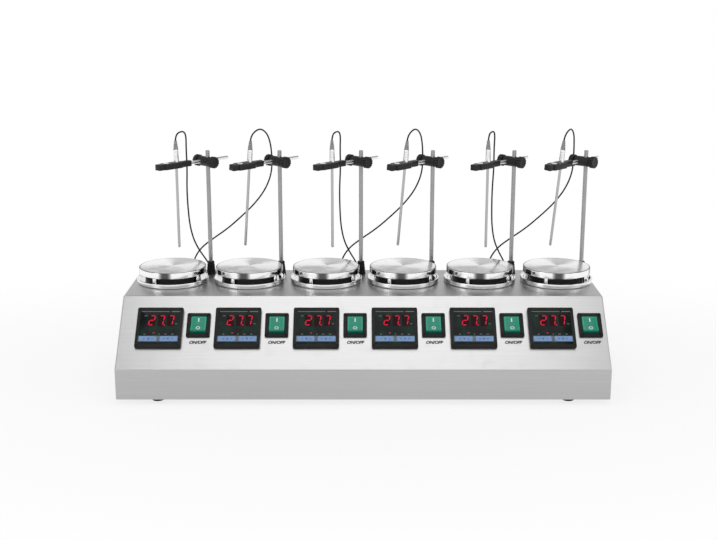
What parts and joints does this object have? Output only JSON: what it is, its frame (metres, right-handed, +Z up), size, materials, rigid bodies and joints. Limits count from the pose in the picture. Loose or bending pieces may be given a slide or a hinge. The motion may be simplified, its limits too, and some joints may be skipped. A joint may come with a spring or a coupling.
{
  "type": "multi-position hotplate stirrer",
  "caption": "Long bench unit with a row of round hot plates over magnetic stirrers, sloping controls, and rod-mounted temperature probes with looped cables.",
  "frame": {"origin": "on the table under the middle of the whole outline, cross rods included", "axes": "+X along the row of stations to the right, +Y to the rear, +Z up; the controls face -Y"},
  "size_m": [0.7854, 0.2899, 0.404],
  "materials": {
    "brushed_steel": "fine grain along the housing",
    "tray_steel": "plain",
    "turned_steel": "turned and polished",
    "chrome": "bright",
    "stand_steel": "ground bar",
    "black_enamel": "satin black",
    "motor_steel": "grey",
    "black_alloy": "satin black",
    "probe_steel": "polished",
    "black_rubber": "matt",
    "black_plastic": "moulded",
    "controller_plastic": "black bezel with a dark glossy pane",
    "green_rocker": "lit green",
    "board": "green laminate",
    "socket_metal": "nickel plated"
  },
  "bodies": {
    "housing": {"base_tray": "tray_steel", "drip_rings": "chrome", "heater_cups": "black_enamel", "hot_plates": "turned_steel", "housing_cover": "brushed_steel", "power_board": "board", "power_inlet": "black_plastic", "probe_plugs": "black_plastic", "probe_sockets": "socket_metal", "rear_panel": "brushed_steel", "rod_boots": "black_rubber", "rubber_feet": "black_rubber", "speed_controls": "tray_steel", "stand_rods": "stand_steel", "stirrer_motors": "motor_steel", "support_posts": "chrome", "switch_frames": "black_plastic", "temperature_controllers": "controller_plastic", "probe_cable_1": "black_rubber", "probe_cable_2": "black_rubber", "probe_cable_3": "black_rubber", "probe_cable_4": "black_rubber", "probe_cable_5": "black_rubber", "probe_cable_6": "black_rubber"},
    "boss_head_1": {"boss_head_1": "black_alloy"},
    "probe_arm_1": {"probe_arm_1": "black_alloy", "probe_1": "probe_steel"},
    "rocker_1": {"rocker_1": "green_rocker"},
    "speed_knob_1": {"speed_knob_1": "black_plastic"},
    "magnet_rotor_1": {"magnet_rotor_1": "motor_steel"},
    "boss_head_2": {"boss_head_2": "black_alloy"},
    "probe_arm_2": {"probe_arm_2": "black_alloy", "probe_2": "probe_steel"},
    "rocker_2": {"rocker_2": "green_rocker"},
    "speed_knob_2": {"speed_knob_2": "black_plastic"},
    "magnet_rotor_2": {"magnet_rotor_2": "motor_steel"},
    "boss_head_3": {"boss_head_3": "black_alloy"},
    "probe_arm_3": {"probe_arm_3": "black_alloy", "probe_3": "probe_steel"},
    "rocker_3": {"rocker_3": "green_rocker"},
    "speed_knob_3": {"speed_knob_3": "black_plastic"},
    "magnet_rotor_3": {"magnet_rotor_3": "motor_steel"},
    "boss_head_4": {"boss_head_4": "black_alloy"},
    "probe_arm_4": {"probe_arm_4": "black_alloy", "probe_4": "probe_steel"},
    "rocker_4": {"rocker_4": "green_rocker"},
    "speed_knob_4": {"speed_knob_4": "black_plastic"},
    "magnet_rotor_4": {"magnet_rotor_4": "motor_steel"},
    "boss_head_5": {"boss_head_5": "black_alloy"},
    "probe_arm_5": {"probe_arm_5": "black_alloy", "probe_5": "probe_steel"},
    "rocker_5": {"rocker_5": "green_rocker"},
    "speed_knob_5": {"speed_knob_5": "black_plastic"},
    "magnet_rotor_5": {"magnet_rotor_5": "motor_steel"},
    "boss_head_6": {"boss_head_6": "black_alloy"},
    "probe_arm_6": {"probe_arm_6": "black_alloy", "probe_6": "probe_steel"},
    "rocker_6": {"rocker_6": "green_rocker"},
    "speed_knob_6": {"speed_knob_6": "black_plastic"},
    "magnet_rotor_6": {"magnet_rotor_6": "motor_steel"}
  },
  "joints": [
    {"name": "boss_head_height_1", "type": "slide", "parent": "housing", "child": "boss_head_1", "axis": [0, 0, 1], "range_m": [-0.026, 0.008], "deforming": ["probe_cable_1"]},
    {"name": "probe_arm_reach_1", "type": "slide", "parent": "boss_head_1", "child": "probe_arm_1", "axis": [-0.682, -0.7314, 0], "range_m": [-0.018, 0.025], "deforming": ["probe_cable_1"]},
    {"name": "boss_head_height_2", "type": "slide", "parent": "housing", "child": "boss_head_2", "axis": [0, 0, 1], "range_m": [-0.026, 0.008], "deforming": ["probe_cable_2"]},
    {"name": "probe_arm_reach_2", "type": "slide", "parent": "boss_head_2", "child": "probe_arm_2", "axis": [-0.682, -0.7314, 0], "range_m": [-0.018, 0.025], "deforming": ["probe_cable_2"]},
    {"name": "boss_head_height_3", "type": "slide", "parent": "housing", "child": "boss_head_3", "axis": [0, 0, 1], "range_m": [-0.026, 0.008], "deforming": ["probe_cable_3"]},
    {"name": "probe_arm_reach_3", "type": "slide", "parent": "boss_head_3", "child": "probe_arm_3", "axis": [-0.682, -0.7314, 0], "range_m": [-0.018, 0.025], "deforming": ["probe_cable_3"]},
    {"name": "boss_head_height_4", "type": "slide", "parent": "housing", "child": "boss_head_4", "axis": [0, 0, 1], "range_m": [-0.026, 0.008], "deforming": ["probe_cable_4"]},
    {"name": "probe_arm_reach_4", "type": "slide", "parent": "boss_head_4", "child": "probe_arm_4", "axis": [-0.682, -0.7314, 0], "range_m": [-0.018, 0.025], "deforming": ["probe_cable_4"]},
    {"name": "boss_head_height_5", "type": "slide", "parent": "housing", "child": "boss_head_5", "axis": [0, 0, 1], "range_m": [-0.026, 0.008], "deforming": ["probe_cable_5"]},
    {"name": "probe_arm_reach_5", "type": "slide", "parent": "boss_head_5", "child": "probe_arm_5", "axis": [-0.682, -0.7314, 0], "range_m": [-0.018, 0.025], "deforming": ["probe_cable_5"]},
    {"name": "boss_head_height_6", "type": "slide", "parent": "housing", "child": "boss_head_6", "axis": [0, 0, 1], "range_m": [-0.026, 0.008], "deforming": ["probe_cable_6"]},
    {"name": "probe_arm_reach_6", "type": "slide", "parent": "boss_head_6", "child": "probe_arm_6", "axis": [-0.682, -0.7314, 0], "range_m": [-0.018, 0.025], "deforming": ["probe_cable_6"]},
    {"name": "rocker_switch_1", "type": "hinge", "parent": "housing", "child": "rocker_1", "pos_m": [-0.26869, -0.08602, 0.10966], "axis": [1, 0, 0], "range_deg": [0, 16]},
    {"name": "rocker_switch_2", "type": "hinge", "parent": "housing", "child": "rocker_2", "pos_m": [-0.14569, -0.08602, 0.10966], "axis": [1, 0, 0], "range_deg": [0, 16]},
    {"name": "rocker_switch_3", "type": "hinge", "parent": "housing", "child": "rocker_3", "pos_m": [-0.02269, -0.08602, 0.10966], "axis": [1, 0, 0], "range_deg": [0, 16]},
    {"name": "rocker_switch_4", "type": "hinge", "parent": "housing", "child": "rocker_4", "pos_m": [0.10031, -0.08602, 0.10966], "axis": [1, 0, 0], "range_deg": [0, 16]},
    {"name": "rocker_switch_5", "type": "hinge", "parent": "housing", "child": "rocker_5", "pos_m": [0.22331, -0.08602, 0.10966], "axis": [1, 0, 0], "range_deg": [0, 16]},
    {"name": "rocker_switch_6", "type": "hinge", "parent": "housing", "child": "rocker_6", "pos_m": [0.34631, -0.08602, 0.10966], "axis": [1, 0, 0], "range_deg": [0, 16]},
    {"name": "speed_knob_turn_1", "type": "hinge", "parent": "housing", "child": "speed_knob_1", "pos_m": [-0.35119, 0.12007, 0.062], "axis": [0, 1, 0], "range_deg": [-135, 135]},
    {"name": "speed_knob_turn_2", "type": "hinge", "parent": "housing", "child": "speed_knob_2", "pos_m": [-0.22319, 0.12007, 0.062], "axis": [0, 1, 0], "range_deg": [-135, 135]},
    {"name": "speed_knob_turn_3", "type": "hinge", "parent": "housing", "child": "speed_knob_3", "pos_m": [-0.09519, 0.12007, 0.062], "axis": [0, 1, 0], "range_deg": [-135, 135]},
    {"name": "speed_knob_turn_4", "type": "hinge", "parent": "housing", "child": "speed_knob_4", "pos_m": [0.03281, 0.12007, 0.062], "axis": [0, 1, 0], "range_deg": [-135, 135]},
    {"name": "speed_knob_turn_5", "type": "hinge", "parent": "housing", "child": "speed_knob_5", "pos_m": [0.16081, 0.12007, 0.062], "axis": [0, 1, 0], "range_deg": [-135, 135]},
    {"name": "speed_knob_turn_6", "type": "hinge", "parent": "housing", "child": "speed_knob_6", "pos_m": [0.28881, 0.12007, 0.062], "axis": [0, 1, 0], "range_deg": [-135, 135]},
    {"name": "magnet_rotor_spin_1", "type": "hinge", "parent": "housing", "child": "magnet_rotor_1", "pos_m": [-0.32719, 0.04906, 0.1], "axis": [0, 0, 1], "continuous": true},
    {"name": "magnet_rotor_spin_2", "type": "hinge", "parent": "housing", "child": "magnet_rotor_2", "pos_m": [-0.19919, 0.04906, 0.1], "axis": [0, 0, 1], "continuous": true},
    {"name": "magnet_rotor_spin_3", "type": "hinge", "parent": "housing", "child": "magnet_rotor_3", "pos_m": [-0.07119, 0.04906, 0.1], "axis": [0, 0, 1], "continuous": true},
    {"name": "magnet_rotor_spin_4", "type": "hinge", "parent": "housing", "child": "magnet_rotor_4", "pos_m": [0.05681, 0.04906, 0.1], "axis": [0, 0, 1], "continuous": true},
    {"name": "magnet_rotor_spin_5", "type": "hinge", "parent": "housing", "child": "magnet_rotor_5", "pos_m": [0.18481, 0.04906, 0.1], "axis": [0, 0, 1], "continuous": true},
    {"name": "magnet_rotor_spin_6", "type": "hinge", "parent": "housing", "child": "magnet_rotor_6", "pos_m": [0.31281, 0.04906, 0.1], "axis": [0, 0, 1], "continuous": true}
  ]
}
